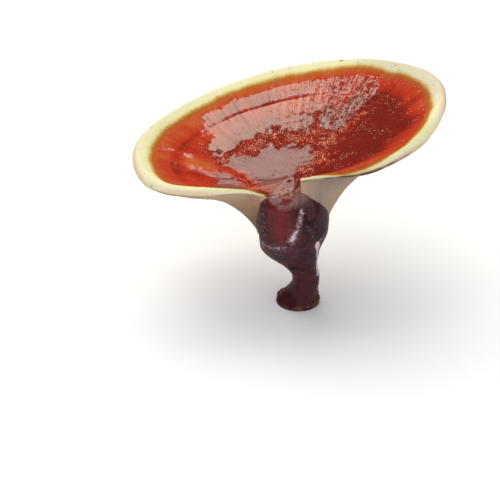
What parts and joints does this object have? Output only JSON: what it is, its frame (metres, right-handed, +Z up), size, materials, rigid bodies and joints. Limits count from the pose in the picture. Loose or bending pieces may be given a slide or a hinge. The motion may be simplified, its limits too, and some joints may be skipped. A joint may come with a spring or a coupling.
{
  "type": "reishi mushroom",
  "caption": "Lacquered bracket fungus: a tilted kidney-shaped cap with a pale rim on a stout side stem, cut flat at the foot to stand upright.",
  "frame": {"origin": "middle of the flat cut foot", "axes": "+Z up, -Y towards the open channel between the cap's two lobes, +X along the cap's long way towards its high side"},
  "size_m": [0.1446, 0.0908, 0.1049],
  "materials": {
    "cap": "glossy orange-red lacquer with a cream margin and a matt cream underside",
    "stem": "glossy dark purple-brown lacquer"
  },
  "bodies": {
    "root": {"cap": "cap", "stem": "stem"}
  },
  "joints": []
}
